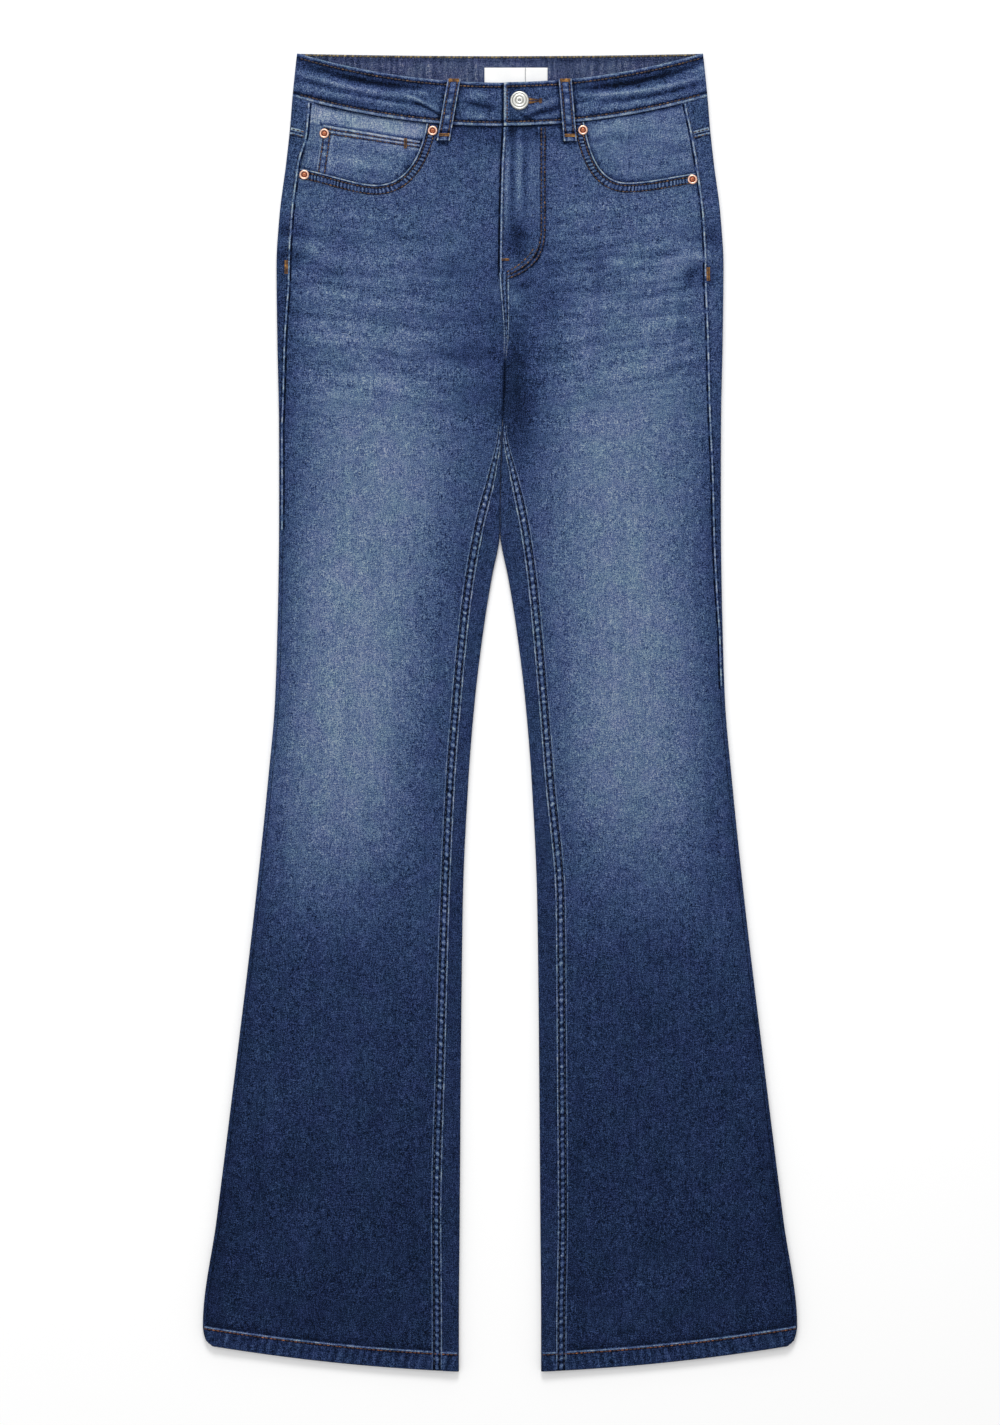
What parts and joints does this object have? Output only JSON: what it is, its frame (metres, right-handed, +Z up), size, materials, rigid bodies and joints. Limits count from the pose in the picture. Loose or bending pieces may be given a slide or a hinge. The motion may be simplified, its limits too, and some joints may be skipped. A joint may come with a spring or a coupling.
{
  "type": "flared jeans, laid flat",
  "caption": "High-waisted flared denim jeans laid flat with the front up, with curved front pockets, a coin pocket, a buttoned waistband, belt loops and flat-felled inseams.",
  "frame": {"origin": "middle of the footprint, on the surface that the jeans lie on", "axes": "+Z up from the surface, out of the front of the jeans; +Y along the garment towards the waist; +X towards the wearer's left"},
  "size_m": [0.5054, 1.12, 0.012],
  "materials": {
    "denim_front": "mid-indigo stretch denim, twill, faded down the middle of each thigh",
    "denim_back": "the same denim, unfaded",
    "denim_trim": "the same denim, worn pale along its stitched edges",
    "label_tape": "plain white woven tape",
    "zip_tape": "navy tape",
    "silver_metal": "silver-white, concentric rings",
    "copper_metal": "rosy copper, satin"
  },
  "bodies": {
    "root": {"front_right": "denim_front", "front_left": "denim_front", "back_right": "denim_back", "back_left": "denim_back", "yoke_right": "denim_back", "yoke_left": "denim_back", "waistband": "denim_trim", "pocket_facing_right": "denim_trim", "pocket_facing_left": "denim_trim", "coin_pocket": "denim_trim", "back_pocket_right": "denim_back", "back_pocket_left": "denim_back", "belt_loop_front_right": "denim_trim", "belt_loop_front_left": "denim_trim", "belt_loop_back_right": "denim_back", "belt_loop_back_middle": "denim_back", "belt_loop_back_left": "denim_back", "label_wide": "label_tape", "label_narrow": "label_tape", "zip": "zip_tape", "button": "silver_metal", "rivet_right_inner": "copper_metal", "rivet_right_outer": "copper_metal", "rivet_coin_pocket": "copper_metal", "rivet_left_inner": "copper_metal", "rivet_left_outer": "copper_metal"}
  },
  "joints": []
}
